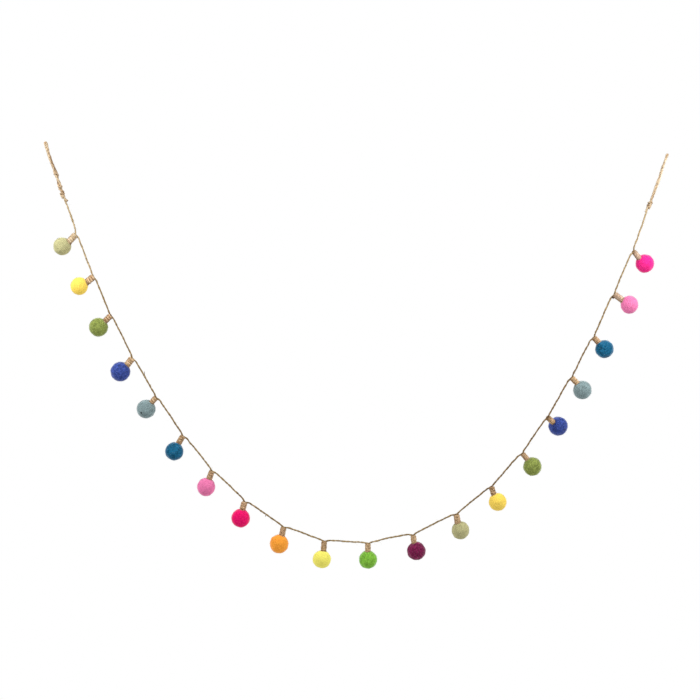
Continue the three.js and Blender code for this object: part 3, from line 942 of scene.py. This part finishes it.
def make_end(name, end, material):
    random = np.random.default_rng(END_SEED + end["tail_side"])
    for make in (make_loop, make_knot, make_tail):
        make(name, end, material, random)


def neck_shade(look, index, share, angle, depth, random):
    """How light the winding is, with painted shade at its sides and foot and painted light on one side,
    share turns from its top and depth deep in the felt.
    """
    few, many = STREAK_COUNTS
    # painted shade on the two sides along the string
    shade = look["light"] - (PAINTED_EDGE_SHADE[0] + PAINTED_EDGE_SHADE[1] * look["band"]) * np.cos(angle) ** 4
    # painted light on its right side and painted shade on its left
    shade += PAINTED_SIDE_LIGHT * look["side"] * np.cos(angle)
    shade += RINGS * look["rings"] * np.sin(math.pi * share)
    streaks = np.sin(few * angle + index) + np.sin(many * angle + 2 * index)
    shade += STREAKS * look["streaks"] * streaks
    around = np.stack([share, np.cos(angle), np.sin(angle)], axis=1)
    shade *= 1 + (BLOTCH[0] + BLOTCH[1] * look["rings"]) * waves(around, BLOTCH_LENGTH, random)
    shade *= towards(look["top"], near(share, TOP_TURNS))
    # painted shadow on the last turns, where the neck goes into the felt
    return shade * towards(look["foot"], np.clip((depth + FOOT_SHADOW_START) / FOOT_SHADOW_OVER, 0, 1))


def nub_shapes(place, string_way, up, front, random):
    """A small curl of twine beside a neck's top, with its hairs."""
    turn = np.linspace(0, NUB_TURN, NUB_POINTS)
    way = turned(turn, string_way, up) - turn[:, None] * NUB_RISE * front
    curl = place + string_way * NUB[0] + up * NUB[1] + NUB_RADIUS * way
    shapes = twine(curl, TWINE, random, shade=NUB_SHADE)
    hairs = loose_hairs(curl, NUB_HAIRS, random, length=NUB_HAIR_LENGTH, shade=NUB_HAIR_LIGHT)
    return [*shapes, hairs]


def make_neck(index, row, before, after, look, jutes):
    """Twine wound tightly from the crossing down into the felt."""
    random = np.random.default_rng(NECK_SEED + index)
    up, place = up_neck(row), crossing(row)
    string_way = square_to(after - before, up)
    front = np.cross(up, string_way)
    ring = (row["width"] - WIND) / 2 + NECK_OUT
    top, foot = NECK_ABOVE - WIND / 2, -row["stem"] - NECK_INTO
    turns = (top - foot) / WIND_PITCH
    share = np.linspace(0, turns, round(turns * WIND_POINTS))
    angle = 2 * math.pi * share + math.pi / 2
    under_string = np.exp(-((np.abs(np.cos(angle)) - 1) ** 2) / UNDER_WIDE)
    under_string *= np.exp(-share / UNDER_TURNS)
    height = top - WIND_PITCH * share - UNDER_DIP * under_string
    (swell, pace), (rough, length) = NECK_SWELL, NECK_ROUGH
    uneven = swell * np.sin(angle * pace + index)
    uneven += rough * waves(share[:, None] * [1, 0, 0], length, random)
    out = ring * (1 + uneven)
    out *= START_IN + (1 - START_IN) * np.clip(share / START_TURNS, 0, 1)
    line = place + height[:, None] * up + turned(angle, string_way, front) * out[:, None]
    shade = neck_shade(look, index, share, angle, -height - row["stem"], random)
    shapes = twine(line, WIND, random, shade=shade)
    for side in (-1, 1):
        leg_line = [place + string_way * side * LEG_ASIDE + up * h for h in LEG_HEIGHTS]
        shapes += twine(smooth(leg_line, LEG_STEP), TWINE, random)
    heights = np.linspace(top - HEART_IN[0], foot + HEART_IN[1], HEART_RINGS)
    shapes.append(tube(place + up * heights[:, None], ring - HEART_GAP, sides=HEART_SIDES))
    outside = line[(share > HAIRS_FROM) & (height > -row["stem"])]
    shapes.append(loose_hairs(outside, NECK_HAIRS, random, length=NECK_HAIR_LENGTH))
    if index == NUB_NECK:
        shapes += nub_shapes(place, string_way, up, front, random)
    piece(f"neck_twine_{index:02d}", shapes, jutes[look["jute"]], "wound_jute", f"neck_{index:02d}")


def felt_ball(index, row):
    """The unit directions of a ball's points, its faces, and how far out each point lies."""
    random = np.random.default_rng(FELT_SEED + index)
    ball = bmesh.new()
    bmesh.ops.create_icosphere(ball, subdivisions=BALL_DIVIDED, radius=1)
    way = unit(np.array([v.co for v in ball.verts]))
    faces = [[v.index for v in face.verts] for face in ball.faces]
    ball.free()
    x, y, z = way.T
    i = index - 1
    # The same lumps as the frame's ball has
    lump = np.sin(2.1 * x + i) * np.sin(2.7 * y + 2 * i) + np.sin(2.4 * z + 3 * i) / 2
    radius = row["ball"] / 2
    out = radius * (1 + BALL_UNEVEN * lump) + FELT_OUT
    places = way * radius
    for height, length, count in FELT_BUMPS:
        out += height * waves(places, length, random, count)
    marks = unit(random.normal(size=(MARKS, 3)))
    deep = random.uniform(*MARK_DEEP, MARKS)
    wide = random.uniform(*MARK_WIDE, MARKS) / radius
    apart = np.arccos(np.clip(way @ marks.T, -1, 1))
    out -= (deep * near(apart, wide)).sum(1)
    return way, faces, out


def fibres(way, points, middle, radius, count, random):
    """Loose fibres that start at some of a ball's points and curve out along it."""
    root = random.choice(len(way), count, replace=False)
    normal = way[root]
    along = unit(np.cross(normal, random.normal(size=(count, 3))))
    bend = np.cross(normal, along) * random.normal(0, FIBRE_BEND, (count, 1))
    length = random.uniform(*FIBRE_LENGTH, (count, 1))
    lift = random.gamma(*FIBRE_LIFT, (count, 1))
    base = np.linalg.norm(points[root] - normal * FIBRE_ROOT - middle, axis=1)[:, None]
    lines = []
    for share, height in FIBRE_RISE:
        way_out = unit(normal * radius + (along * share + bend * share**2) * length)
        lines.append(middle + way_out * (base + lift * height))
    return strands(np.stack(lines, axis=1), FIBRE)


def speck(way, points, random):
    """A tangle of dark fibres on a ball."""
    at = points[(way @ unit(SPECK)).argmax()] + SPECK_OUT * unit(SPECK)
    lines = at + random.normal(0, SPECK_SPREAD, (3, SPECK_HAIRS, 3)).cumsum(axis=0)
    return strands(np.stack(lines, axis=1), SPECK_HAIR, SPECK_SHADE)


def make_ball(index, row, felts, fuzzes):
    random = np.random.default_rng(FUZZ_SEED + index)
    wool, middle, up = row["wool"], ball_middle(row), up_neck(row)
    way, faces, out = felt_ball(index, row)
    from_axis = np.linalg.norm(np.cross(middle + way * out[:, None] - crossing(row), up), axis=1)
    from_neck = from_axis - row["width"] / 2
    for height, place, wide in FOLD:
        out += (way @ up > 0) * height * near(from_neck - place, wide)
    points = middle + way * out[:, None]
    shape = (points, faces, np.zeros_like(points), np.ones(len(points)))
    piece(f"felt_{index:02d}", [shape], felts[wool], "felt_" + wool, f"ball_{index:02d}")

    count = round(FUZZ * WOOLS[wool][2])
    shapes = [fibres(way, points, middle, row["ball"] / 2, count, random)]
    if index == SPECK_BALL:
        shapes.append(speck(way, points, random))
    piece(f"fuzz_{index:02d}", shapes, fuzzes[wool], "felt_" + wool)


def make_floor():
    """A white floor that keeps the garland's shadow."""
    mesh = bpy.data.meshes.new("floor")
    low = cad_low.z - FLOOR_DROP
    ways = ((-1, -1), (1, -1), (1, 1), (-1, 1))
    corners = [(MIDDLE.x + FLOOR_REACH * x, FLOOR_REACH * y, low) for x, y in ways]
    mesh.from_pydata(corners, [], [[0, 1, 2, 3]])
    floor = new_object("floor", mesh)
    n = Nodes(bpy.data.materials.new("floor"))
    grey = (FLOOR_GREY, FLOOR_GREY, FLOOR_GREY, 1)
    n.fill(SURFACE, Base_Color=grey, Roughness=1, Specular_IOR_Level=0)
    seen = n.add("LightPath").outputs["Is Camera Ray"]
    white = n.add("Emission", Color=WHITE, Strength=1).outputs[0]
    bounced = n.add("Emission", Color=WHITE, Strength=FLOOR_GLOW).outputs[0]
    pale = n.blend(FLOOR_WHITE, n.tree.nodes[SURFACE].outputs[0], white)
    n.fill("Material Output", Surface=n.blend(seen, bounced, pale))
    mesh.materials.append(n.owner)


def make_world():
    """White behind the garland, and soft light all round it."""
    world = bpy.data.worlds.new("world")
    bpy.context.scene.world = world
    n = Nodes(world)
    back = n.add("SeparateXYZ", Vector=n.add("TexCoord").outputs["Generated"]).outputs["Y"]
    light = n.add("MapRange", Value=back, From_Min=-AMBIENT_SPAN, From_Max=AMBIENT_SPAN)
    n.fill(light.name, To_Min=AMBIENT_FRONT, To_Max=AMBIENT_BEHIND)
    n.fill("Background", Color=WHITE, Strength=light.outputs["Result"])
    ambient = n.tree.nodes["Background"].outputs[0]
    white = n.add("Background", Color=WHITE, Strength=1).outputs[0]
    rays = n.add("LightPath").outputs
    seen = n.math("MAXIMUM", rays["Is Camera Ray"], rays["Is Glossy Ray"])
    seen = n.math("MAXIMUM", seen, rays["Is Transmission Ray"])
    n.fill("World Output", Surface=n.blend(seen, ambient, white))


def make_lamp(name, aside, forward, raised, watts):
    """A soft square lamp aimed at the garland's middle."""
    data = bpy.data.lights.new(name, "AREA")
    data.size = LAMP_SIZE
    data.energy = watts
    lamp = new_object(name, data)
    lamp.location = (MIDDLE.x + aside, -forward, MIDDLE.z + raised)
    lamp.rotation_euler = (MIDDLE - lamp.location).to_track_quat("-Z", "Y").to_euler()


make_camera()
make_string(jute("jute", STRING_JUTE, STRING_TONE, STRING_BRIGHT))
end_jute = jute("end_jute", END_JUTE, END_TONE)
for end_name, end_row in ENDS.items():
    make_end(end_name, end_row, end_jute)

neck_jutes = {name: jute(name + "_jute", shades, NECK_TONE) for name, shades in JUTES.items()}
wool_felts = {name: felt(name, *wool) for name, wool in WOOLS.items()}
wool_fuzz = {name: fuzz(name, *wool[:2]) for name, wool in WOOLS.items()}
left_turning, right_turning = (np.array(end["string"][0]) for end in ENDS.values())
turnings = [left_turning, *map(crossing, BALLS), right_turning]
for number, (ball_row, neck_look) in enumerate(zip(BALLS, NECKS), start=1):
    make_neck(number, ball_row, turnings[number - 1], turnings[number + 1], neck_look, neck_jutes)
    make_ball(number, ball_row, wool_felts, wool_fuzz)

make_floor()
make_world()
for lamp_row in LAMPS:
    make_lamp(*lamp_row)
bpy.context.scene.view_settings.view_transform = "Standard"
